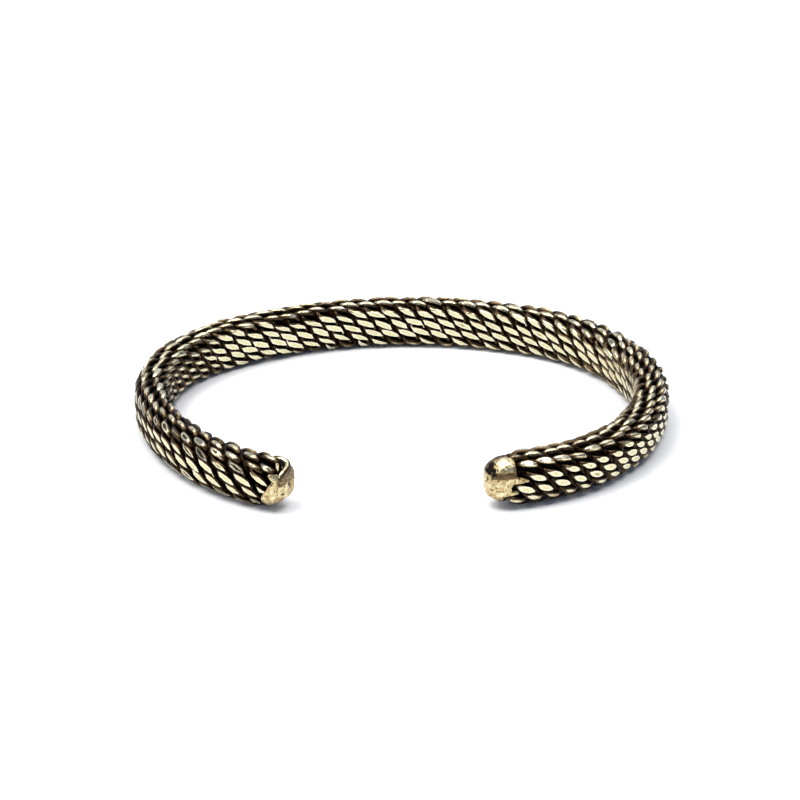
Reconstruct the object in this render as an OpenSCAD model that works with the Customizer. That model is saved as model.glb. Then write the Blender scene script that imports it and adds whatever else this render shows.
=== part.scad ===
// Woven link cuff: an open C of brass mesh, fused at both ends into a rounded cap.
// It lies on its side: the band's height is along Z, the back of the cuff is towards +Y,
// and the opening between the caps is towards -Y.

/* [Band] */
// Height of the band, across the wrist's length
band_h = 6.3; // [5.2:0.1:9]
// Thickness of the band, from the wrist outwards
band_t = 4.3; // [3.2:0.1:5.5]
// Rounding of the band's edges, as a share of half its thickness
edge_round = 0.93; // [0.4:0.01:0.98]

/* [Bend] */
// Radius of the middle of the band along the back
back_r = 41; // [30:0.5:55]
// Turn of the back, from its middle to the left side
back_left_turn = 33.5; // [20:0.5:40]
// Turn of the back, from its middle to the right side
back_right_turn = 22.5; // [20:0.5:27]
// Radius of the left side
side_left_r = 20.3; // [15:0.1:28]
// Turn of the left side
side_left_turn = 69.5; // [65:0.5:80]
// Radius of the right side
side_right_r = 22.7; // [15:0.1:28]
// Turn of the right side
side_right_turn = 75.5; // [70:0.5:80]
// Radius of the left arm, beside the opening
front_left_r = 27.2; // [20:0.1:35]
// Turn of the left arm, up to its cap
front_left_turn = 50; // [40:0.5:52]
// Radius of the right arm, beside the opening
front_right_r = 22.7; // [18:0.1:35]
// Turn of the right arm, up to its cap
front_right_turn = 68.5; // [50:0.5:70]

/* [End caps] */
// How much less high than the band the left cap is
cap_left_less = 0.2; // [0:0.1:0.8]
// How much less high than the band the right cap is
cap_right_less = 0.7; // [0:0.1:0.8]
// How much thinner than the band both caps are
cap_thinner = 0.1; // [0:0.1:0.6]
// Length of the left cap, before its nose is hammered flat
cap_left_l = 4.2; // [3.6:0.1:8]
// How much of the left cap's nose is flat
cap_left_flat = 0.6; // [0:0.1:0.8]
// Length of the right cap, before its nose is hammered flat
cap_right_l = 4; // [3.6:0.1:8]
// How much of the right cap's nose is flat
cap_right_flat = 0.2; // [0:0.1:0.8]

/* [Hidden] */

// Gap between the band and a cap
fit_gap = 0.05;
// The band's core runs on into each cap as a plug: its inset from the band's sides, and its length
plug_inset = 0.9;
plug_l = 1.2;
// Overlap where one shape is cut from another
cut = 0.5;
// Two bends are joined by a short core: its length, its inset from the band, and the seam between them
core_l = 0.4;
core_inset = 0.05;
seam_w = 0.06;
$fn = 64;

edge_r = edge_round * band_t / 2;
cap_t = band_t - cap_thinner;
cap_r = cap_t / 2;
cap_left_h = band_h - cap_left_less;
cap_right_h = band_h - cap_right_less;
// Both caps are level with the top of the higher one
cap_top = max(cap_left_h, cap_right_h) / 2;
left_turn = back_left_turn + side_left_turn + front_left_turn;
right_turn = back_right_turn + side_right_turn + front_right_turn;

// How far one side of the bend reaches from the middle of the back
function side_reach(turn, r) = (back_r - r) * sin(turn) + r + band_t / 2;
// How far the end of one arm lies in front of the middle of the back
function arm_depth(turn_0, r_1, turn_1, r_2, turn_2) =
    back_r - (back_r - r_1) * cos(turn_0) - (r_1 - r_2) * cos(turn_0 + turn_1)
    - r_2 * cos(turn_0 + turn_1 + turn_2);
// How far a cap's rounded nose reaches in front of the end of its arm
function cap_depth(turn, length) = (length - cap_r) * sin(turn) + cap_r;

left_depth = arm_depth(back_left_turn, side_left_r, side_left_turn, front_left_r, front_left_turn)
    + cap_depth(left_turn, cap_left_l);
right_depth = arm_depth(back_right_turn, side_right_r, side_right_turn, front_right_r, front_right_turn)
    + cap_depth(right_turn, cap_right_l);
left_reach = side_reach(back_left_turn, side_left_r);
right_reach = side_reach(back_right_turn, side_right_r);

// Places the middle of the back so that the origin is under the middle of the whole cuff
module placed() {
    translate([
        (left_reach - right_reach) / 2,
        (max(left_depth, right_depth) - band_t / 2) / 2,
        band_h / 2
    ]) children();
}

// Cross-section of the band: flat inner and outer walls, and well rounded edges
module band_section(inset = 0) {
    half_t = band_t / 2 - inset;
    half_h = band_h / 2 - inset;
    r = edge_r - inset;
    for (side = [-1, 1], end = [-1, 1])
        translate([side * (half_t - r), end * (half_h - r)]) circle(r);
    square([2 * half_t, 2 * (half_h - r)], center = true);
    square([2 * (half_t - r), 2 * half_h], center = true);
}

// Carries what follows to the far end of a bend that starts at the origin, along +X and turning to -Y
module at_bend_end(r, turn) {
    translate([r * sin(turn), r * (cos(turn) - 1), 0]) rotate([0, 0, -turn]) children();
}

// One bend of the band, short of its near end, and of its far end too unless it is the last
module bend(r, turn, last = false) {
    trim = seam_w / 2 / r * 180 / PI;
    kept = turn - (last ? 1 : 2) * trim;
    translate([0, -r, 0]) rotate([0, 0, 90 - trim - kept])
        rotate_extrude(angle = kept) translate([r, 0]) band_section();
}

// The core that joins a bend to the one before it, across a hairline seam
module joint_core() {
    translate([-core_l / 2, 0, 0]) rotate([90, 0, 90])
        linear_extrude(core_l) band_section(inset = core_inset);
}

// The band's core beyond the last links, which the cap holds
module plug() {
    translate([-cut, 0, 0]) rotate([90, 0, 90])
        linear_extrude(plug_l + cut) band_section(inset = plug_inset);
}

// The back of the band, in one bend from side to side
module back() {
    trim = seam_w / 2 / back_r * 180 / PI;
    translate([0, -back_r, 0]) rotate([0, 0, 90 - back_right_turn + trim])
        rotate_extrude(angle = back_left_turn + back_right_turn - 2 * trim)
        translate([back_r, 0]) band_section();
}

// One side of the band, from the back to the plug in its cap
module band_side(turn_0, r_1, turn_1, r_2, turn_2) {
    at_bend_end(back_r, turn_0) {
        joint_core();
        bend(r_1, turn_1);
        at_bend_end(r_1, turn_1) {
            joint_core();
            bend(r_2, turn_2, last = true);
            at_bend_end(r_2, turn_2) plug();
        }
    }
}

// Carries a cap to the end of its arm
module at_arm_end(turn_0, r_1, turn_1, r_2, turn_2) {
    at_bend_end(back_r, turn_0) at_bend_end(r_1, turn_1) at_bend_end(r_2, turn_2) children();
}

// A cap along +X: a straight collar round the plug, then a nose rounded both ways and hammered flat
module cap(length, flat, height) {
    straight_h = height - 2 * cap_r;
    nose_x = length - cap_r;
    difference() {
        translate([0, 0, cap_top - height / 2]) union() {
            translate([fit_gap, 0, 0]) rotate([90, 0, 90]) linear_extrude(nose_x - fit_gap) {
                for (end = [-1, 1]) translate([0, end * straight_h / 2]) circle(cap_r);
                square([cap_t, straight_h], center = true);
            }
            translate([nose_x, 0, 0]) rotate([0, 0, -90]) rotate_extrude(angle = 180) {
                for (end = [-1, 1]) intersection() {
                    translate([0, end * straight_h / 2]) circle(cap_r);
                    translate([0, -height]) square([cap_t, 2 * height]);
                }
                translate([0, -straight_h / 2]) square([cap_r, straight_h]);
            }
        }
        translate([length - flat, -cap_t, -height]) cube([flat + cut, 2 * cap_t, 2 * height]);
        translate([-cut, 0, 0]) rotate([90, 0, 90])
            linear_extrude(plug_l + fit_gap + cut) band_section(inset = plug_inset - fit_gap);
    }
}

module woven_band() color("#8f7a48") placed() {
    back();
    band_side(back_right_turn, side_right_r, side_right_turn, front_right_r, front_right_turn);
    mirror([1, 0, 0])
        band_side(back_left_turn, side_left_r, side_left_turn, front_left_r, front_left_turn);
}

module end_cap_left() color("#c9a760") placed() mirror([1, 0, 0])
    at_arm_end(back_left_turn, side_left_r, side_left_turn, front_left_r, front_left_turn)
        cap(cap_left_l, cap_left_flat, cap_left_h);

module end_cap_right() color("#c9a760") placed()
    at_arm_end(back_right_turn, side_right_r, side_right_turn, front_right_r, front_right_turn)
        cap(cap_right_l, cap_right_flat, cap_right_h);

woven_band();
end_cap_left();
end_cap_right();
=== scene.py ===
"""Dresses the woven link cuff: its wire links, its fused ends, the finish of its brass, and a studio."""

import math

import bpy
import numpy as np
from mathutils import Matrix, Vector


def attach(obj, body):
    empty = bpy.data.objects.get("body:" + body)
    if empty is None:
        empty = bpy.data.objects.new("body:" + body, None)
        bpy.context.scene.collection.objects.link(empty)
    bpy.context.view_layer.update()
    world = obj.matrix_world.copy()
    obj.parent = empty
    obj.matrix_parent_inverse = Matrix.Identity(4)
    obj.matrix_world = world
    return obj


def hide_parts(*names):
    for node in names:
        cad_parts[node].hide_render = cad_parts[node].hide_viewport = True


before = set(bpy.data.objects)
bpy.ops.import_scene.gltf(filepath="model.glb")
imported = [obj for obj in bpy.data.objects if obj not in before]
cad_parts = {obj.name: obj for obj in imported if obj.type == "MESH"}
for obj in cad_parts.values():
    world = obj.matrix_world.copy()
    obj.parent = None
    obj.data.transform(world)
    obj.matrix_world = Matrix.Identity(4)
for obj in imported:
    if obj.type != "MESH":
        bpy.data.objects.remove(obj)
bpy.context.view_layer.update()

# Lengths are in mm, and a piece is made in metres
MM = 0.001

# The bend of the band, as in the source: radius and turn of each bend, from the middle of the back
BENDS_RIGHT = ((41.0, 22.5), (22.7, 75.5), (22.7, 68.5))
BENDS_LEFT = ((41.0, 33.5), (20.3, 69.5), (27.2, 50.0))
ARM_RIGHT = sum(r * math.radians(turn) for r, turn in BENDS_RIGHT)
ARM_LEFT = sum(r * math.radians(turn) for r, turn in BENDS_LEFT)
BACK_X, BACK_Y, MID_Z = 1.011, 23.663, 3.15

# The outline of the band: half thickness, half height and rounding of the edges
HALF_T, HALF_H, EDGE_R = 2.15, 3.15, 2.0
WALL = 2 * (HALF_H - EDGE_R)
CROWN = 2 * (HALF_T - EDGE_R)
QUARTER = math.pi / 2 * EDGE_R
GIRTH = 2 * WALL + 2 * CROWN + 4 * QUARTER

# The weave: rows of links round the band, and by how many columns a row slips in one turn round it
ROWS, ROW_SLIP = 11, 5
ROW_STEP = GIRTH / ROWS
FIRST_COLUMN, LAST_COLUMN = -36, 45
# Where the columns fall along the band, as column number and place: open at the back, close on the arms
COLUMN_MARKS = (
    (-29.2, -76.3), (-21.2, -59.8), (-9, -34.6), (0, -16), (20.5, 30), (31, 50), (37, 60), (45, 76.7),
)
# How far the rows have wound round the band, as place along it and length round it
WIND_MARKS = (
    (-73, 14.1), (-64, 11.5), (-60, 10.8), (-34.6, 9.0), (-20, 7.6), (-5, 6.72),
    (22, 6.5), (28, 6.1), (35, 4.7), (50, 2.2), (61, -0.35), (73, -0.55),
)
# How far a pulled column lies aside, and how far a link strays from its place, along and round the band
PULL_ALONG, PULL_ROUND = 0.19, 0.21
STRAY_ALONG, STRAY_ROUND = 0.06, 0.05
# How far past each lip the last links may lie, and past each arm at most
PAST_LIP_LEFT, PAST_ARM_LEFT = 0.5, 2.3
PAST_LIP_RIGHT, PAST_ARM_RIGHT = 0.9, 1.7
# What each of a link's own seeded draws is for
LUCK_SEED = 7
SIZE, SLANT, TURN, RISE, TILT, WEAR = range(6)

# Swells along the band, as rise, place and width: what the wheel left at the bends of the two sides, and
# how much less the links stand out on the left
LEFT_BULGE, RIGHT_BULGE = (0.30, -37, 13), (0.26, 36, 14)
LEFT_HOLLOW = (0.08, -42, 14)
# The old round of the bar on the inner and the outer wall: over all of it, more in its middle, and how wide
INNER_ROUND, OUTER_ROUND = (0.06, 0.135, 1.4), (0.08, 0.105, 1.5)
# How much squarer the inner wall's edges are than the outline, and how much higher the links stand on top
SQUARE_RISE, TOP_RISE = 0.30, 0.12
# How far from a wall's own direction a link keeps being ground flat along that wall, in radians
WALL_HOLD_INSIDE = (0.75, 0.95)
WALL_HOLD_OUTSIDE = (0.35, 0.65)
WALL_HOLD_LEFT = (0.05, 0.35)
# Where the left arm begins: its upper links' ground faces are painted dark in their middles as a
# reflection, inside bright rims
LEFT_ARM = -45

# A link's wire: its radius, how far it runs to each side of its middle, and where its tails begin to drop
WIRE_R = 0.47
TAIL, TAIL_DROP = 1.12, 0.92
# Where its ground face may end, from the nearest to the middle to the furthest, and the stations on the way
FACE_LEAST, FACE_MOST = 0.3, 0.93
FACE_STATIONS = (0.5, 0.8, 1.0)
# The ring of points round the wire: where half of them stand, from the ground face to the far side, the
# least crease that counts as ground, the creases of the body and of the tails elsewhere, and how far a ring
# may lean
RING_SHARES = (0.0, 0.13, 0.5)
LEAST_CREASE, BODY_CREASE, TAIL_CREASE = 0.1, 0.12, 0.2
MOST_LEAN = 0.6
# Which side of the ground face each point of the ring is on
RING_SIDES = (1.0, 1.0, 1.0, 0.0, -1.0, -1.0, -1.0)
# The strand beneath: how deep it lies, its radius, how much darker it is painted, as a depth, for the shade
# beneath the rows, its place beside the link's, how far the last ones lie past the arms, and its stations
# and ring
BENEATH, BENEATH_R, BENEATH_SHADE = 0.36, 0.40, 0.11
BENEATH_ALONG, BENEATH_ROUND = 1.05, -0.1
BENEATH_PAST_LEFT, BENEATH_PAST_RIGHT = 0.4, -1.6
BENEATH_STATIONS, BENEATH_RING = 7, 6
# How deep the links dive where they run into the fused metal
DIVE = 0.45
# The core inside the links: how deep it lies, how far it runs past the arms, and its stations and ring
CORE_INSET, CORE_PAST = 0.85, 1.0
CORE_STATIONS, CORE_RING = 241, 40
# The links are made as three pieces, which meet this far from the middle of the back
BACK_REACH = 24
# How dark the heart of a ground face is painted, as a reflection: on any link, unevenly, and more
# on a ringed link
HEART, HEART_UNEVEN, HEART_RINGED = 0.33, 0.10, 0.7

# Where the fused metal of each end begins on the outer wall: height above the middle, length past the arm
LIP_LEFT = (
    (-3.2, 0.9), (-1.9, 0.9), (-1.5, 0.9), (-0.95, 1.05), (-0.27, 1.6), (0.42, 1.9), (1.15, 2.45),
    (1.4, 2.2), (1.8, 1.85), (1.95, 1.95), (2.1, 3.2), (3.3, 3.2),
)
LIP_RIGHT = (
    (-3.2, 1.5), (-2.0, 1.9), (-1.3, 1.9), (-1.15, 0.5), (-0.97, 0.1), (-0.8, 0.5), (-0.66, 1.05),
    (-0.1, 1.1), (0.24, 0.8), (0.36, -0.5), (0.5, -0.95), (0.7, -0.9), (0.95, -0.4), (1.18, 0.2),
    (1.35, 0.5), (3.3, 0.5),
)
# The furthest that the left lip is followed by the links, before the hollow of the end loop
LIP_MOST = 2.5

# The fused ends, as in the source: half their thickness, where they begin, and for each its name, half its
# straight height, where its nose begins, how long the nose is up to its flat, and how far it is raised. Low
# and high are how much of its height is hammered away below and above, all along and more at the nose
CAP_R = 2.1
CAP_REAR = -1.6
CAPS = {
    -1: {"name": "fused_end_left", "straight": 0.95, "nose": 2.1, "flat": 1.5, "raise": 0.0,
         "low": (0.09, 0.38), "high": (0.0, 0.10)},
    1: {"name": "fused_end_right", "straight": 0.7, "nose": 1.9, "flat": 1.9, "raise": 0.25,
        "low": (0.0, 0.10), "high": (0.0, 0.16)},
}
END_SECTIONS, END_BODY_SECTIONS, END_RING = 150, 90, 210
# How softly the nose turns into its flat
NOSE_SOFT = 0.09
# How much of its size an end keeps before its lip, inside the weave
SHRUNK = 0.66

# The last link at the left end, which arches round a hollow in the fused metal, and the end of the wire
# inside it: length past the arm, outwards and up
END_LOOP = (
    (0.4, -0.9, 1.9), (1.0, -0.9, 2.75), (1.9, -1.2, 2.8), (2.9, -1.3, 2.7), (3.5, -1.1, 2.1),
    (3.4, -0.1, 2.25), (3.4, 0.8, 2.1), (3.1, 1.4, 1.5),
)
LOOP_TAIL = ((2.55, 0.75, 3.0), (2.62, 0.85, 2.8), (2.6, 0.85, 2.3), (2.6, 0.8, 1.8))
LOOP_R, LOOP_TAIL_R = 0.36, 0.2
LOOP_STATIONS, LOOP_RING = 30, 14
# The polish of the wire's end in the hollow, as a depth
TAIL_POLISH = 0.15


def along_bar(s):
    """Plan of the band's middle line at length s from the middle of the back (right is positive).

    Each bend adds r * (sin, cos) of its last heading less r * (sin, cos) of its first; past the last bend
    the line runs straight on. Returns x, y and the heading, clockwise from +X, in mm and radians."""
    x, y, heading = np.zeros_like(s), np.zeros_like(s), np.zeros_like(s)
    for side, bends in ((1, BENDS_RIGHT), (-1, BENDS_LEFT)):
        rest = np.maximum(side * s, 0)
        turned = np.zeros_like(s)
        for r, turn in bends:
            part = np.minimum(rest, r * math.radians(turn))
            ahead = turned + part / r
            x += side * r * (np.sin(ahead) - np.sin(turned))
            y += r * (np.cos(ahead) - np.cos(turned))
            rest, turned = rest - part, ahead
        x += side * rest * np.cos(turned)
        y -= rest * np.sin(turned)
        heading += side * turned
    return x + BACK_X, y + BACK_Y, heading


def round_section(v):
    """The outline at length v round it, from the middle of the outer wall up and over.

    Walls and crowns are straight runs, and each edge is a quarter circle. Returns the place (outwards, up)
    and the outward normal in the same two directions."""
    v = np.mod(v + WALL / 2, GIRTH)
    half = v >= GIRTH / 2
    w = np.where(half, v - GIRTH / 2, v)
    first = np.clip((w - WALL) / EDGE_R, 0, math.pi / 2)
    second = np.clip((w - WALL - QUARTER - CROWN) / EDGE_R, 0, math.pi / 2)
    angle = first + second
    wall = np.clip(w, 0, WALL)
    crown = np.clip(w - WALL - QUARTER, 0, CROWN)
    out = HALF_T - EDGE_R + EDGE_R * np.cos(angle) - crown
    up = -WALL / 2 + wall + EDGE_R * np.sin(angle)
    sign = np.where(half, -1.0, 1.0)
    return out * sign, up * sign, np.cos(angle) * sign, np.sin(angle) * sign


def on_band(s, v, height):
    """Carries a place on the unrolled band (along s, round v, height off the outline) to the cuff.

    The section point plus height times its normal, set out along the outward normal of the middle line and
    up. Returns the points, the surface normals, and the plan normals of the bar."""
    x, y, heading = along_bar(s)
    out, up, n_out, n_up = round_section(v)
    out, up = out + height * n_out, up + height * n_up
    px, py = np.sin(heading), np.cos(heading)
    point = np.stack([x + out * px, y + out * py, MID_Z + up], -1)
    normal = np.stack([n_out * px, n_out * py, n_up], -1)
    return point, normal, np.stack([px, py, np.zeros_like(px)], -1)


def unit(a):
    """Vectors divided by their lengths."""
    return a / np.maximum(np.linalg.norm(a, axis=-1, keepdims=True), 1e-9)


def ease(x, low, high):
    """0 below low, 1 above high, and 3 t^2 - 2 t^3 between them."""
    t = np.clip((x - low) / (high - low), 0, 1)
    return t * t * (3 - 2 * t)


def hump(x, centre, width):
    """A smooth rise to 1 at the centre, exp(-((x - centre) / width)^2)."""
    return np.exp(-(((x - centre) / width) ** 2))


def swell(s, rise, place, width):
    """A hump of the band at a place along it."""
    return rise * hump(s, place, width)


def wheel_reach(s):
    """How far out the outer wall was ground: more at the bends of both sides, where the links stand proud."""
    return HALF_T + swell(s, *LEFT_BULGE) + swell(s, *RIGHT_BULGE)


def proud(s, v):
    """How far the links stood above the outline before the grinding.

    Each wall keeps some of the old round of the bar, least on the inner wall of the left side and below on
    the right arm's outer wall. The inner wall's edges are squarer than the outline, and the top is higher."""
    _, _, n_out, n_up = round_section(v)
    v = np.mod(v, GIRTH)
    off = np.arcsin(np.clip(np.abs(n_up), 0, 1))
    square = ease(off, 0.1, 0.62) * ease(-off, -1.15, -0.72) * (n_out < 0)
    rise, more, wide = INNER_ROUND
    inner = ease(-n_out, 0.3, 0.9) * (rise + more * hump(v, GIRTH / 2, wide)) + SQUARE_RISE * square
    inner = inner * (1 - 0.8 * ease(-s, 24, 36) - 0.35 * ease(s, 15, 30))
    rise, more, wide = OUTER_ROUND
    excess = wheel_reach(s) - HALF_T - swell(s, *LEFT_HOLLOW)
    left = s < 0
    bulge = hump(np.where(v > GIRTH / 2, v - GIRTH, v), 0.35 * left, wide - 0.25 * left)
    low_right = ease(-n_up, 0.3, 0.8) * ease(s, 20, 40)
    outer = ease(n_out, 0.3, 0.9) * (excess + rise + more * bulge) * (1 - 0.8 * low_right)
    return inner + outer + TOP_RISE * ease(n_up, 0.2, 0.9)


def lip(side, out, up):
    """Where the fused metal begins past the arm: read off the marks on the outer wall, and scalloped
    elsewhere, 0.7 + 0.4 cos(3.9 p), p being the angle round the section."""
    marked = np.interp(up, *zip(*(LIP_RIGHT if side > 0 else LIP_LEFT)))
    scalloped = 0.7 + 0.4 * np.cos(3.9 * np.arctan2(up, out))
    outer = ease(out, 0.1, 0.9) if side > 0 else ease(out, -0.6, -0.1)
    return outer * marked + (1 - outer) * scalloped


def sunk(s, v):
    """How far the links dive as they run into the fused metal: all of DIVE once they are past its lip."""
    out, up, _, _ = round_section(v)
    left = ease(-s - ARM_LEFT - np.minimum(lip(-1, out, up), LIP_MOST), -0.9, 0.4)
    right = ease(s - ARM_RIGHT - lip(1, out, up), -0.9, 0.4)
    return DIVE * (left + right)


def settle(s, v):
    """Where the rows really lie: closer together on the inner wall, by an eighth of their distance from its
    middle, and drawn apart and together on the outer wall of the right arm."""
    inner = hump(np.mod(v, GIRTH), GIRTH / 2, 2.6)
    v = v - 0.12 * (np.mod(v, GIRTH) - GIRTH / 2) * inner
    w = np.mod(v + GIRTH / 2, GIRTH) - GIRTH / 2
    return v + (0.35 * hump(w, -1.9, 1.0) - 0.2 * hump(w, 1.2, 1.0)) * ease(s, 25, 45)


def weave_links():
    """Places of the links: the middle of each along and round the band, and its six seeded draws.

    Link (i, j) is in column i + ROW_SLIP j / ROWS, read off the column marks, and j row steps round from
    where the rows have wound to. Two columns in five are pulled aside, cos(0.8 pi (i - 8)), as woven chains
    settle, and each link is a little off its place, on top twice as far. Links end a little past the lips."""
    luck = np.random.default_rng(LUCK_SEED)
    columns = np.arange(FIRST_COLUMN, LAST_COLUMN + 1)
    i, j = np.meshgrid(columns, np.arange(ROWS), indexing="ij")
    s = np.interp(i + ROW_SLIP * j / ROWS, *zip(*COLUMN_MARKS), left=-99, right=99)
    v = j * ROW_STEP + np.interp(s, *zip(*WIND_MARKS))
    pull = np.cos(0.8 * math.pi * (i - 8)) * (0.45 + 0.55 * ease(-np.abs(s), -45, -25))
    loose = 1 + ease(round_section(v)[3], 0.5, 0.9)
    s = s + PULL_ALONG * pull + luck.normal(0, STRAY_ALONG, s.shape) * loose
    v = settle(s, v + PULL_ROUND * pull) + luck.normal(0, STRAY_ROUND, s.shape) * loose
    out, up, _, _ = round_section(v)
    past_left = np.minimum(lip(-1, out, up) + PAST_LIP_LEFT, PAST_ARM_LEFT - 0.45 * ease(up, 1.5, 1.9))
    past_right = np.minimum(lip(1, out, up) + PAST_LIP_RIGHT, PAST_ARM_RIGHT - 0.6 * ease(-up, 2.6, 3.0))
    keep = (s > -ARM_LEFT - past_left) & (s < ARM_RIGHT + past_right)
    return s[keep], v[keep], luck.normal(0, 1, (int(keep.sum()), WEAR + 1))


def wheel_planes(s0, v0, luck):
    """The plane that each link was worn against: its direction, as an angle from the outer wall's, how far
    out it is, and how much of a rim it has left round a middle that is painted dark as a reflection.

    Along the walls it is the wheel's own plane. Round the edges it leans with the link, and takes only what
    wear takes there. How far out it is counts from the outline in its own direction."""
    _, _, n_out, n_up = round_section(v0)
    facing = np.arctan2(n_up, n_out)
    wall = np.where(n_out > 0, 0, np.where(facing > 0, math.pi, -math.pi))
    off = np.abs(facing - wall)
    left_arm = (s0 < LEFT_ARM) & (n_out > 0)
    outside = np.where(left_arm, ease(off, *WALL_HOLD_LEFT), ease(off, *WALL_HOLD_OUTSIDE))
    free = np.where(n_out > 0, outside, ease(off, *WALL_HOLD_INSIDE))
    ringed = left_arm * free * ease(n_out, 0.45, 0.7)
    angle = wall + (facing - wall) * free
    over = ease(n_up, 0.3, 0.8)
    wear = 0.06 + 0.035 * luck[:, WEAR] + 0.07 * ringed - 0.06 * over
    worn = np.clip(wear, 0.0, 0.2 - 0.14 * over)
    ground = np.where(n_out > 0, wheel_reach(s0) - HALF_T, 0)
    reach = ground * (1 - free) + (proud(s0, v0) - worn) * free
    return angle, reach, ringed


def link_paths(s0, v0, luck, reach):
    """The bent wire of each link, at eleven stations t from one tail to the other.

    Along the band the wire runs 1.40 t - 0.06 t^3 - 0.2 t^5, and round it 0.52 t + 0.1 t^3 + 0.36 t^5, so
    that the body leans and both tails hook round to the next rows: longer and more hooked on the inner wall,
    and half as slanting on top. It arches: the middle is highest, and the tails dive below their neighbours
    by arch t^2, or where they are hooked by a step of 0.155, and past TAIL_DROP by 9 to 16 times the square
    of the rest. The stations crowd where the ground face ends, at t = sqrt(cut / arch)."""
    _, _, n_out, n_up = round_section(v0)
    right_arm = ease(s0, 26, 40) * (np.mod(v0 + QUARTER, GIRTH) < GIRTH / 2)
    hooked_outside = ease(n_out, 0.8, 0.95) * ease(-s0, 30, 50)
    hooked = np.where(n_out < 0, ease(-n_out, 0.6, 0.8), hooked_outside)
    arch = 0.30 + 0.35 * right_arm
    cut = np.maximum(proud(s0, v0) + 0.018 * luck[:, RISE] - reach, 0.03)
    tip = np.clip(np.sqrt(cut / arch), FACE_LEAST, FACE_MOST) * (1 - hooked) + FACE_MOST * hooked
    inside, over = ease(-n_out, 0.5, 0.9)[:, None], ease(n_up, 0.5, 0.9)[:, None]
    wire = WIRE_R - 0.01 * inside + 0.06 * over * ease(-s0, 40, 55)[:, None]
    end = np.full((len(s0), 1), TAIL)
    half = np.concatenate([tip[:, None] * np.array(FACE_STATIONS), (tip[:, None] + TAIL) / 2, end], 1)
    t = np.concatenate([-half[:, ::-1], np.zeros((len(s0), 1)), half], 1)
    size = 1 + 0.03 * luck[:, SIZE, None]
    right = (1.40 * t - 0.06 * t**3 - 0.2 * t**5) * size * (1 + 0.16 * inside)
    down = ((0.52 - 0.06 * inside) * t + 0.1 * t**3 + (0.36 + 0.22 * inside) * t**5) * (1 - 0.5 * over)
    down = down * (1 + 0.05 * luck[:, SLANT, None])
    turn = 0.04 * luck[:, TURN, None]
    right, down = right - turn * down, down + turn * right
    s, v = s0[:, None] - right, v0[:, None] - down
    hooked = hooked[:, None]
    dive = (1 - hooked) * arch[:, None] * t**2 + hooked * 0.155 * ease(np.abs(t), 0.25, 0.8)
    dive = dive + (9 + 7 * hooked) * np.maximum(np.abs(t) - TAIL_DROP, 0) ** 2
    radius = wire * (1 - (0.2 + 0.15 * hooked) * np.abs(t / TAIL) ** 3)
    height = proud(s, v) + (0.018 + 0.035 * over) * luck[:, RISE, None] - wire - dive - sunk(s, v)
    return s, v, height, radius, t, tip


def along_path(middle, normal):
    """The directions of a wire's rings: across it, and its top, which leans back from the surface normal."""
    ahead = unit(np.gradient(middle, axis=1))
    across = unit(np.cross(ahead, normal))
    return across, np.cross(across, ahead)


def link_surfaces(s0, v0, luck):
    """Skins the links: round each path point a ring of seven points, flat where the link was ground or worn.

    The wheel plane lies (HALF_T - EDGE_R) |cos| + (HALF_H - EDGE_R) |sin| + EDGE_R out, the support of the
    rounded outline in its direction, and its reach beyond that. In the ring's plane its normal stands at an
    angle lean from the ring's top, and the wire's circle meets it at lean plus or minus
    arccos((limit - out) / (m radius)), m being the length of the normal's part in that plane. The first and
    last ring points stand there, and the rest share the round part. Returns the points, how deep each lies,
    where the face is ground, how far along the face each ring is, and how ringed each link is."""
    angle, reach, ringed = wheel_planes(s0, v0, luck)
    s, v, height, radius, t, tip = link_paths(s0, v0, luck, reach)
    middle, normal, plan = on_band(s, v, height)
    across, top = along_path(middle, normal)
    flat = np.cos(angle)[:, None, None] * plan
    flat[..., 2] = np.sin(angle)[:, None]
    wheel = unit(flat + 0.05 * luck[:, TILT, None, None] * across)
    to_top, to_side = (wheel * top).sum(-1), (wheel * across).sum(-1)
    m = np.hypot(to_top, to_side)
    lean = np.arctan2(to_side, to_top)
    x, y, _ = along_bar(s)
    axis = np.stack([x, y, np.full_like(x, MID_Z)], -1)
    out = ((middle - axis) * flat).sum(-1)
    support = (HALF_T - EDGE_R) * np.abs(np.cos(angle)) + (HALF_H - EDGE_R) * np.abs(np.sin(angle)) + EDGE_R
    drift = wheel_reach(s) - wheel_reach(s0)[:, None]
    limit = (support + reach)[:, None] + drift * (np.cos(angle)[:, None] > 0.9)
    meet = (limit - out) / np.maximum(m * radius, 1e-6)
    cut = meet < math.cos(LEAST_CREASE)
    uncut = np.where(np.abs(t) < 0.97, BODY_CREASE, TAIL_CREASE)
    crease = np.where(cut, np.arccos(np.clip(meet, -0.5, 1)), uncut)
    lean = np.where(cut, lean, np.clip(lean, -MOST_LEAN, MOST_LEAN))
    half_ring = crease[..., None] + np.array(RING_SHARES) * (math.pi - crease[..., None])
    far_side = np.full_like(half_ring[..., :1], math.pi)
    angles = np.concatenate([half_ring, far_side, -half_ring[..., ::-1]], -1) + lean[..., None]
    round_ring = np.cos(angles)[..., None] * top[:, :, None] + np.sin(angles)[..., None] * across[:, :, None]
    points = middle[:, :, None] + radius[..., None, None] * round_ring
    points[..., 2] = np.maximum(points[..., 2], 0.0)
    depth = (height - proud(s, v))[..., None] + radius[..., None] * np.cos(angles)
    over = ease(round_section(v0)[3], 0.2, 0.8)
    # Painted shade: the wires are painted darker on the left arm and round -14 on the back, and lighter on
    # top, and their sides darker still on the left arm and round -6 on the back
    painted_shade_shift = 0.02 * ease(-s0, 42, 55) + swell(s0, 0.03, -14, 10) - 0.07 * over
    steeper = 1 + 0.7 * ease(-s0, 38, 50) + swell(s0, 0.35, -6, 20)
    depth = (depth - painted_shade_shift[:, None, None]) * steeper[:, None, None]
    return points, depth, cut, t / tip[:, None], ringed


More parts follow.
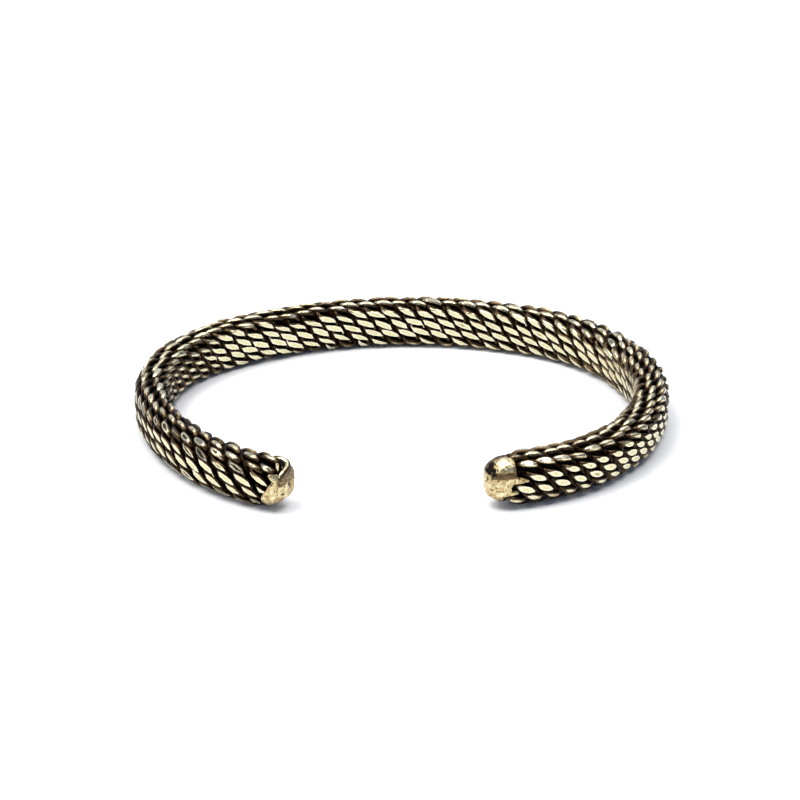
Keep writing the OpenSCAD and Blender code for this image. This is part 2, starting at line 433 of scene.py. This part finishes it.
def links_beneath(s0, v0, luck):
    """The other half of each link, a rounder strand that crosses under the rows half a column further on.

    It runs 0.62 t along and 1.2 t round from its own middle, t from -1 to 1, lies BENEATH + 0.2 t^2 below
    the crests, and thins by 0.08 t^4. Returns its rings of points and how deep each lies."""
    t = np.linspace(-1, 1, BENEATH_STATIONS)[None, :]
    s = s0[:, None] + BENEATH_ALONG + 0.62 * t
    v = v0[:, None] + BENEATH_ROUND + 1.2 * t + 0.06 * luck[:, SLANT, None]
    radius = BENEATH_R - 0.08 * t**4
    height = proud(s, v) - BENEATH - 0.2 * t**2 - BENEATH_R - sunk(s, v)
    middle, normal, _ = on_band(s, v, height)
    across, top = along_path(middle, normal)
    angles = np.linspace(0, 2 * math.pi, BENEATH_RING, endpoint=False)
    round_ring = np.cos(angles)[:, None] * top[:, :, None] + np.sin(angles)[:, None] * across[:, :, None]
    points = middle[:, :, None] + radius[..., None, None] * round_ring
    points[..., 2] = np.maximum(points[..., 2], 0.02)
    # Painted shade: the strand is painted darker than its depth alone makes it, as it lies beneath the rows
    depth = (height - proud(s, v) - BENEATH_SHADE)[..., None] + radius[..., None] * np.cos(angles)
    return points, depth


def lattice_faces(links, stations, ring, turned=True):
    """Quads between neighbouring rings of every link, then one face across each end of every link.

    The faces are turned about where the rings run clockwise along the piece, so that they face outward."""
    k, a, b = np.meshgrid(np.arange(links), np.arange(stations - 1), np.arange(ring), indexing="ij")
    corner = (k * stations + a) * ring + b
    beside = (k * stations + a) * ring + (b + 1) % ring
    quads = np.stack([corner, corner + ring, beside + ring, beside], -1).reshape(-1, 4)
    first = (np.arange(links) * stations * ring)[:, None]
    near = first + np.arange(ring)[None, :]
    far = first + (stations - 1) * ring + np.arange(ring)[None, ::-1]
    order = slice(None, None, -1 if turned else 1)
    return quads[:, order].tolist() + near[:, order].tolist() + far[:, order].tolist()


def new_piece(name, points, faces, material):
    """A mesh object at the origin, in metres, from points in mm."""
    mesh = bpy.data.meshes.new(name)
    mesh.from_pydata((points.reshape(-1, 3) * MM).tolist(), [], faces)
    mesh.materials.append(material)
    mesh.polygons.foreach_set("use_smooth", np.ones(len(mesh.polygons), bool))
    piece = bpy.data.objects.new(name, mesh)
    bpy.context.scene.collection.objects.link(piece)
    return piece


def note(piece, name, domain, values):
    """Stores one number for each point or face, for the material to read."""
    values = np.ravel(values).astype(np.float32)
    piece.data.attributes.new(name, "FLOAT", domain).data.foreach_set("value", values)


def crease_rims(piece, cut, ring):
    """Keeps sharp the two long edges of each ground face: those that join the first, or the last, points of
    neighbouring rings, where either ring is cut."""
    ends = np.zeros(len(piece.data.edges) * 2, np.int64)
    piece.data.edges.foreach_get("vertices", ends)
    pair = ends.reshape(-1, 2)
    spot, at_cut = pair % ring, cut.ravel()[pair // ring]
    lengthwise = (spot[:, 0] == spot[:, 1]) & (spot[:, 0] % (ring - 1) == 0)
    sharp = lengthwise & (at_cut[:, 0] | at_cut[:, 1])
    piece.data.attributes.new("sharp_edge", "BOOLEAN", "EDGE").data.foreach_set("value", sharp)


class Tone:
    """A value, colour or vector in a material's nodes. Arithmetic on it adds Math nodes."""

    def __init__(self, tree, socket=None):
        self.tree, self.socket = tree, socket

    def node(self, kind, settings=None, sockets=None, output=0):
        """Adds a node of this kind: its settings first, then the values or links of its sockets."""
        made = self.tree.nodes.new(kind)
        for name, value in (settings or {}).items():
            setattr(made, name, value)
        for name, value in (sockets or {}).items():
            if isinstance(value, Tone):
                self.tree.links.new(value.socket, made.inputs[name])
            else:
                made.inputs[name].default_value = value
        return Tone(self.tree, made.outputs[output] if len(made.outputs) else None)

    def maths(self, operation, *values):
        return self.node("ShaderNodeMath", {"operation": operation}, dict(enumerate(values)))

    def __add__(self, other):
        return self.maths("ADD", self, other)

    def __sub__(self, other):
        return self.maths("SUBTRACT", self, other)

    def __rsub__(self, other):
        return self.maths("SUBTRACT", other, self)

    def __mul__(self, other):
        return self.maths("MULTIPLY", self, other)

    __radd__, __rmul__ = __add__, __mul__

    def eased(self, low, high):
        """0 below low and 1 above high, smooth between them."""
        return self.node(
            "ShaderNodeMapRange",
            {"interpolation_type": "SMOOTHSTEP"},
            {"Value": self, "From Min": low, "From Max": high},
        )

    def blend(self, first, second):
        """The first colour where this is 0, the second where it is 1."""
        return self.node("ShaderNodeMix", {"data_type": "RGBA"}, {0: self, 6: first, 7: second}, 2)


def colour(r, g, b):
    """An opaque colour."""
    return (r, g, b, 1.0)


def object_place(start):
    """Places on the piece in metres, its Object coordinates."""
    return start.node("ShaderNodeTexCoord", output=3)


def speckle(start, place, scale, detail=2.0, rough=0.5):
    """Noise of this many specks to the metre, about 0.5."""
    sockets = {"Vector": place, "Scale": scale, "Detail": detail, "Roughness": rough}
    return start.node("ShaderNodeTexNoise", None, sockets)


def bumped(start, height, strength, distance):
    """The surface normal, bumped by this height."""
    return start.node("ShaderNodeBump", None, {"Strength": strength, "Distance": distance, "Height": height})


def reading(start, name):
    """A number stored on the mesh."""
    return start.node("ShaderNodeAttribute", {"attribute_name": name}, output=2)


def finish(name, build):
    """A material: build gets a Tone to start from and returns the sockets of the surface's shader."""
    material = bpy.data.materials.new(name)
    material.use_nodes = True
    tree = material.node_tree
    tree.nodes.clear()
    start = Tone(tree)
    shader = start.node("ShaderNodeBsdfPrincipled", None, build(start))
    start.node("ShaderNodeOutputMaterial", None, {"Surface": shader})
    return material


def aged_brass_and_painted_light(start):
    """Brass links: pale and polished on the ground faces, bronze on the wire, black-brown in the recesses.

    The wire is rubbed bright at the crests and grimy below, and its depth also carries painted shade. On a
    ground face, the heart is (1 - side^2) (1 - reach^2), 1 in its middle and 0 at its rim: the rim is painted
    paler, as a highlight, than the olive heart, with fine specks, and the heart is painted dark, as a
    reflection, as far as is stored for the link."""
    place = object_place(start)
    depth, ground, heart_reflection = (reading(start, name) for name in ("depth", "ground", "heart_reflection"))
    side, reach = reading(start, "side"), reading(start, "reach")
    mottle = speckle(start, place, 1300.0, 3.0)
    fine = speckle(start, place, 5200.0, 2.0)
    rubbed = (depth + (mottle - 0.5) * 0.30 + (fine - 0.5) * 0.12).eased(-0.18, 0.0)
    # Near black in the recesses: patina, together with the painted shade that the depth carries
    grime_and_shade = (depth + (mottle - 0.5) * 0.2).eased(-0.62, -0.20)
    wire = rubbed.blend(colour(0.074, 0.048, 0.024), colour(0.74, 0.63, 0.40))
    wire = grime_and_shade.blend(colour(0.008, 0.003, 0.001), wire)
    heart = (1 - side * side) * (1 - reach * reach)
    # Painted reflection: the heart of a ground face is painted dark, more on a ringed link
    dark_heart_reflection = (heart + (mottle - 0.5) * 0.8) * heart_reflection
    # Painted highlight: the rims of the ground faces are painted paler than their olive hearts, broken by
    # fine specks
    specks_and_rim_sheen = (heart + (fine - 0.5) * 1.6).eased(0.2, 1.1)
    pale = specks_and_rim_sheen.blend(colour(0.77, 0.73, 0.56), colour(0.60, 0.55, 0.29))
    pale = dark_heart_reflection.eased(0.42, 0.66).blend(pale, colour(0.075, 0.050, 0.024))
    return {
        "Base Color": ground.blend(wire, pale),
        "Metallic": 1.0,
        "Roughness": 0.32 - 0.09 * rubbed - ground * 0.04 + (fine - 0.5) * 0.14,
        "Normal": bumped(start, mottle + fine * 0.5, 0.35, 0.00004),
    }


def painted_shade_core(start):
    """The inside of the weave, painted black-brown as its shade."""
    mottle = speckle(start, object_place(start), 1500.0, 2.0)
    return {
        "Base Color": mottle.eased(0.3, 0.8).blend(colour(0.010, 0.005, 0.002), colour(0.03, 0.017, 0.008)),
        "Metallic": 0.2,
        "Roughness": 0.8,
        "Normal": bumped(start, mottle, 0.3, 0.0001),
    }


def cast_brass(start):
    """The fused ends: pale brass with pores, brown in patches and in a band on the right end that is painted
    darker as a reflection, sooty on rough patches, black in dents, and painted black as shade where the
    metal runs into the weave.
    """
    place = object_place(start)
    soot_and_shade, brown, shine = (reading(start, name) for name in ("soot_and_shade", "brown", "shine"))
    cloud = speckle(start, place, 420.0, 3.0)
    mottle = speckle(start, place, 1700.0, 4.0, 0.65)
    pores = speckle(start, place, 3300.0, 1.5)
    gold = cloud.eased(0.35, 0.65).blend(colour(0.44, 0.30, 0.13), colour(0.60, 0.49, 0.25))
    gold = mottle.eased(0.45, 0.68).blend(gold, colour(0.84, 0.75, 0.48))
    pitted = pores.eased(0.58, 0.67) * (1 - shine)
    gold = pitted.blend(gold, colour(0.13, 0.08, 0.035))
    # Brown patches and bands, the right end's band being a painted darker reflection
    browned = (brown + (mottle - 0.5) * 2.0 * brown).eased(0.25, 0.75)
    gold = browned.blend(gold, colour(0.15, 0.10, 0.05))
    black = (soot_and_shade + (mottle - 0.5) * 1.8 + (pores - 0.5) * 1.6).eased(0.34, 0.66)
    return {
        "Base Color": black.blend(gold, colour(0.012, 0.010, 0.008)),
        "Metallic": 1.0,
        "Roughness": 0.36 + 0.10 * mottle + 0.2 * black - 0.10 * shine,
        "Normal": bumped(start, mottle * 0.7 + cloud - pitted * 0.6, 0.5, 0.00008),
    }


def white_floor(start):
    """A matt white sheet."""
    return {"Base Color": colour(0.9, 0.9, 0.9), "Roughness": 0.9, "Specular IOR Level": 0.1}


def past_arm(side, a, out, up):
    """Carries a place past the end of an arm (along it, outwards, up from the middle) to the cuff."""
    x, y, heading = along_bar(side * ((ARM_RIGHT if side > 0 else ARM_LEFT) + a))
    return np.stack([x + out * np.sin(heading), y + out * np.cos(heading), MID_Z + up], -1)


def lumps(a, out, up, size):
    """Hammered unevenness between -1 and 1: the mean of four sines, each of a slanting sum of the places."""
    total = 0
    for k, (p, q, r) in enumerate(((1.0, 0.7, 0.4), (-0.6, 1.0, 0.8), (0.5, -0.9, 1.0), (0.9, 0.3, -1.0))):
        total = total + np.sin((p * a + q * out + r * up) * 6.28 / size * (1 + 0.23 * k) + 1.7 * k)
    return total / 4


def right_end_marks(a, out, up):
    """The right end's own marks: a high shoulder on its dome, a rough and sooty nose above, a black dent
    beside it, and a brown band between the dome and the rubbed face, painted darker as a reflection. Returns
    the bump in mm, how black each place is, brown and shine."""
    rough = ease(a, 2.35, 3.1) * ease(up, 0.9, 1.4) * ease(out, -0.6, 0.2)
    bump = 0.10 * hump(a, 1.7, 0.8) * hump(up, 2.3, 0.7) * ease(out, -0.3, 0.5)
    bump = bump - 0.12 * rough * (0.5 + 0.5 * lumps(a, out, up, 0.7))
    bump = bump - 0.16 * hump(a, 3.55, 0.3) * hump(up, 0.55, 0.35) * ease(out, 0, 0.5)
    face = ease(out, 1.2, 1.7)
    # Painted reflection: the brown band between the dome and the rubbed face is painted as the darker
    # reflection where the surface curves under
    brown = 0.95 * ease(up, 0.72, 0.85) * ease(-up, -1.75, -1.4) * ease(a, 0.0, 0.6) * face
    brown = np.maximum(brown, 0.8 * ease(-out, -0.5, 0.3) * ease(up, 0.5, 1.5))
    brown = np.maximum(brown, 0.52 * ease(-a, -1.3, -0.7) * ease(up, 0.9, 1.3))
    shine = ease(up, 1.6, 1.9) * ease(-a, -2.7, -2.3)
    soot_and_shade = np.maximum(0.98 * rough, hump(a, 3.5, 0.45) * hump(up, 0.5, 0.45) * 0.6)
    return bump, soot_and_shade, brown, shine


def left_end_marks(a, out, up):
    """The left end's own marks: two black pits in its nose, soot on top round the end loop, and brown on the
    inner wall and over the nose. Returns the bump in mm, how black each place is, brown and shine."""
    pit = hump(a, 3.6, 0.25) * hump(up, 0.32, 0.28) * hump(out, -0.06, 0.28)
    nick = hump(up, -0.49, 0.2) * hump(out, 1.41, 0.4)
    bump = -0.22 * pit - 0.16 * hump(a, 3.5, 0.3) * nick
    brown = 0.75 * ease(-out, -1.0, 0.2) * (0.6 + 0.4 * lumps(a, out, up, 1.5))
    over_nose = ease(a, 2.7, 3.3) * ease(up, 0.1, 0.9)
    brown = np.maximum(brown, (0.75 + 0.3 * lumps(a, out, up, 0.9)) * over_nose)
    shine = ease(up, 1.5, 1.8) * ease(-up, -2.3, -2.1) * ease(out, 1.0, 1.6)
    rough = hump(a, 3.4, 0.5) * ease(up, 1.6, 2.4) * ease(-out, -1.2, -0.4)
    rough = np.maximum(rough, ease(up, 1.8, 2.2) * ease(-a, -3.75, -3.5))
    soot_and_shade = rough + 1.2 * pit + 1.2 * hump(a, 3.5, 0.25) * hump(up, -0.49, 0.17) * hump(out, 1.41, 0.3)
    return bump, soot_and_shade, brown, shine


def fused_end(side):
    """One fused end, as rows of sections along the arm.

    A section is a stadium: out = w cos p, up = h clip(4 sin p) + w sin p, where p runs round it, closer on
    the outer wall. Along the nose, w = CAP_R cos q and the length grows as CAP_R sin q up to its flat, by a
    soft minimum. Below and above, a share of the height is hammered away. Before the lip the section shrinks
    to two thirds, so that the metal rises out of the weave, and there it is painted black, as the shade
    inside the weave. Returns the points, and how black, brown and shiny each is."""
    shape = CAPS[side]
    turn = np.linspace(0, 2 * math.pi, END_RING, endpoint=False)
    turn = turn - 0.35 * np.sin(turn)
    body = np.linspace(CAP_REAR, shape["nose"], END_BODY_SECTIONS, endpoint=False)
    q = np.linspace(0, math.pi / 2 - 0.02, END_SECTIONS - END_BODY_SECTIONS)
    reach = CAP_R * np.sin(q)
    reach = -NOSE_SOFT * np.log(np.exp(-reach / NOSE_SOFT) + np.exp(-shape["flat"] / NOSE_SOFT))
    a = np.concatenate([body, shape["nose"] + np.maximum(reach, 0)])[:, None]
    w = np.concatenate([np.full_like(body, CAP_R), CAP_R * np.cos(q)])[:, None]
    end_w = math.sqrt(CAP_R**2 - shape["flat"] ** 2)
    h = shape["straight"] * np.minimum(w / end_w, 1)
    cos, sin = np.cos(turn)[None, :], np.sin(turn)[None, :]
    out, up = w * cos, h * np.clip(4 * sin, -1, 1) + w * sin
    a = a + 0 * out
    low, high = shape["low"], shape["high"]
    up = up * (1 - (low[0] + low[1] * ease(a, 1.6, 3.8)) * ease(-up, 0, 1.6))
    up = up * (1 - (high[0] + high[1] * ease(a, 1.4, 3.8)) * ease(up, 0, 1.6))
    risen = ease(a - lip(side, out, up + shape["raise"]), -0.12, 0.10)
    marks = right_end_marks if side > 0 else left_end_marks
    bump, soot_and_shade, brown, shine = marks(a, out, up)
    bump = 0.05 * lumps(a, out, up, 2.6) + 0.03 * lumps(a + 5, out, up, 1.1) - 0.05 + bump
    grow = (SHRUNK + (1 - SHRUNK) * risen) * (1 + bump / CAP_R * risen)
    out, up = np.minimum(out * grow, CAP_R), up * grow
    a = a + 0.05 * lumps(a, out, up, 1.3) * ease(a, 2.5, 3.5)
    # Painted shade: before its lip, inside the weave, the metal is painted black
    soot_and_shade = np.maximum(soot_and_shade, 1 - risen)
    brown = np.maximum(brown, 0.7 * ease(-up, 1.9, 2.4))
    return past_arm(side, a, out, up + shape["raise"]), soot_and_shade, brown, shine


def bowed(points, stations):
    """A smooth curve drawn by its control points: the sum of each, times C(n, k) t^k (1 - t)^(n - k)."""
    n = len(points) - 1
    t = np.linspace(0, 1, stations)[:, None]
    return sum(math.comb(n, k) * t**k * (1 - t) ** (n - k) * np.array(p) for k, p in enumerate(points))


def round_wire(path, radius, ring):
    """A round wire along a path: centre + radius (cos p across + sin p up), its two ends drawn in."""
    ahead = unit(np.gradient(path, axis=0))
    across = unit(np.cross(ahead, np.array([0.3, 0.5, 0.8])))
    above = np.cross(across, ahead)
    p = np.linspace(0, 2 * math.pi, ring, endpoint=False)[None, :, None]
    size = radius * np.sqrt(1 - np.linspace(-0.97, 0.97, len(path)) ** 8)[:, None, None]
    return path[:, None] + size * (np.cos(p) * across[:, None] + np.sin(p) * above[:, None])


def loop_shade(side, path, wire, radius):
    """How dark the end loop is painted, as a depth, for its shade: -0.30 over its first part, which clears
    between 0.15 and 0.38 of its length, and -0.24 more on its side towards the nose."""
    nose = unit(past_arm(side, 3.5, 0.0, 0.0) - past_arm(side, 2.5, 0.0, 0.0))
    facing = (wire - path[:, None]) @ nose / radius
    t = np.linspace(0, 1, len(path))[:, None]
    return -0.30 * ease(-t, -0.38, -0.15) - 0.24 * ease(facing, 0.1, 0.8)


BRASS = finish("aged_brass_and_painted_light", aged_brass_and_painted_light)
CORE = finish("painted_shade_core", painted_shade_core)
CAST = finish("cast_brass", cast_brass)
FLOOR = finish("white_floor", white_floor)

# The links, in three pieces
s0, v0, luck = weave_links()
points, depth, cut, stretch, ringed = link_surfaces(s0, v0, luck)
_, stations, ring, _ = points.shape
# How dark the heart of each link's ground face is painted, as a reflection
heart_reflection = HEART + HEART_UNEVEN * luck[:, SIZE] + HEART_RINGED * ringed
where = {
    "links_left": s0 < -BACK_REACH,
    "links_back": (s0 >= -BACK_REACH) & (s0 <= BACK_REACH),
    "links_right": s0 > BACK_REACH,
}
band_pieces = []
for name, chosen in where.items():
    n = int(chosen.sum())
    piece = new_piece(name, points[chosen], lattice_faces(n, stations, ring), BRASS)
    part = cut[chosen]
    ground = np.zeros((n, stations - 1, ring), np.float32)
    ground[:, :, ring - 1] = part[:, 1:] | part[:, :-1]
    note(piece, "depth", "POINT", depth[chosen])
    note(piece, "ground", "FACE", np.concatenate([ground.ravel(), np.zeros(2 * n)]))
    note(piece, "heart_reflection", "POINT", np.repeat(heart_reflection[chosen], stations * ring))
    note(piece, "side", "POINT", np.broadcast_to(np.array(RING_SIDES), (n, stations, ring)))
    note(piece, "reach", "POINT", np.repeat(stretch[chosen], ring))
    crease_rims(piece, part, ring)
    band_pieces.append(piece)

# The strands beneath them, which stop short of the fused ends
held = (s0 > -ARM_LEFT - BENEATH_PAST_LEFT) & (s0 < ARM_RIGHT + BENEATH_PAST_RIGHT)
under, under_depth = links_beneath(s0[held], v0[held], luck[held])
piece = new_piece("links_beneath", under, lattice_faces(*under.shape[:3]), BRASS)
note(piece, "depth", "POINT", under_depth)
band_pieces.append(piece)

# The core inside the links, painted near-black as the shade deep in the weave
along = np.linspace(-ARM_LEFT - CORE_PAST, ARM_RIGHT + CORE_PAST, CORE_STATIONS)
around = np.linspace(0, GIRTH, CORE_RING + 1)[:-1]
grid_s, grid_v = np.meshgrid(along, around, indexing="ij")
core_points, _, _ = on_band(grid_s, grid_v, np.full_like(grid_s, -CORE_INSET))
band_pieces.append(new_piece("weave_core", core_points, lattice_faces(1, CORE_STATIONS, CORE_RING), CORE))
for piece in band_pieces:
    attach(piece, "root")
    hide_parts("woven_band")

# The fused ends, and the last link of the left one
for side, node in ((-1, "end_cap_left"), (1, "end_cap_right")):
    solid, soot_and_shade, brown, shine = fused_end(side)
    pieces = [new_piece(CAPS[side]["name"], solid, lattice_faces(1, *solid.shape[:2], turned=side > 0), CAST)]
    for name, values in (("soot_and_shade", soot_and_shade), ("brown", brown), ("shine", shine)):
        note(pieces[0], name, "POINT", values)
    if side < 0:
        loops = (("end_loop", END_LOOP, LOOP_R), ("end_loop_tail", LOOP_TAIL, LOOP_TAIL_R))
        for name, curve, radius in loops:
            a, out, up = bowed(curve, LOOP_STATIONS).T
            path = past_arm(side, a, out, up)
            wire = round_wire(path, radius, LOOP_RING)
            faces = lattice_faces(1, LOOP_STATIONS, LOOP_RING, turned=False)
            pieces.append(new_piece(name, wire, faces, BRASS))
            polish = np.full(wire.shape[:2], TAIL_POLISH)
            # Painted shade on the end loop, darker where it leaves the weave and on its side towards the nose
            worn = loop_shade(side, path, wire, radius) if name == "end_loop" else polish
            note(pieces[-1], "depth", "POINT", worn)
    for piece in pieces:
        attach(piece, "root")
        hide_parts(node)

# The studio: a white floor, and soft lights, each as its place, size and power, in metres and watts. All of
# them point at the middle of the cuff
floor_corners = np.array([[-900.0, -900, 0], [900, -900, 0], [900, 1400, 0], [-900, 1400, 0]])
floor = new_piece("floor", floor_corners, [(0, 1, 2, 3)], FLOOR)

WARM = (1.0, 0.985, 0.955)
SKY, SKY_STRENGTH = colour(0.60, 0.72, 1.0), 0.37
LIGHTS = {
    "key": ((-0.30, -0.06, 0.60), (0.4, 0.4), 3.4),
    "spark": ((0.21, -0.12, 0.60), (0.24, 0.24), 1.05),
    "side": ((-0.60, 0.45, 0.25), (0.5, 0.4), 0.5),
    "left": ((-0.46, -0.26, 0.29), (0.3, 0.3), 0.6),
    "rim": ((0.30, 0.30, 0.45), (0.4, 0.4), 0.35),
    "overhead": ((0.05, 0.06, 0.7), (0.8, 0.9), 3.3),
    "backdrop": ((0, 0.85, 0.45), (1.2, 0.5), 1.2),
}
for name, (place, size, power) in LIGHTS.items():
    lamp = bpy.data.lights.new(name, "AREA")
    lamp.shape, lamp.size, lamp.size_y, lamp.energy, lamp.color = "RECTANGLE", *size, power, WARM
    light = bpy.data.objects.new(name, lamp)
    light.location = place
    light.rotation_euler = (-Vector(place)).to_track_quat("-Z", "Y").to_euler()
    bpy.context.scene.collection.objects.link(light)
world = bpy.data.worlds.new("studio")
world.use_nodes = True
sky = world.node_tree.nodes["Background"].inputs
sky["Color"].default_value, sky["Strength"].default_value = SKY, SKY_STRENGTH
bpy.context.scene.world = world
bpy.context.scene.view_settings.view_transform = "Standard"

# The camera, at the photo's angle above the floor: place, tilt and shift as fitted to the cuff's outline
CAMERA_PLACE = (1.011, -252.105, 121.45)
CAMERA_TILT = math.radians(25)
lens = bpy.data.cameras.new("camera")
lens.lens, lens.sensor_width = 100.8, 36.0
lens.shift_x, lens.shift_y = -0.0123, -0.0123
lens.clip_start = 0.01
camera = bpy.data.objects.new("camera", lens)
camera.location = [c * MM for c in CAMERA_PLACE]
camera.rotation_euler = (math.pi / 2 - CAMERA_TILT, 0, 0)
bpy.context.scene.collection.objects.link(camera)
bpy.context.scene.camera = camera
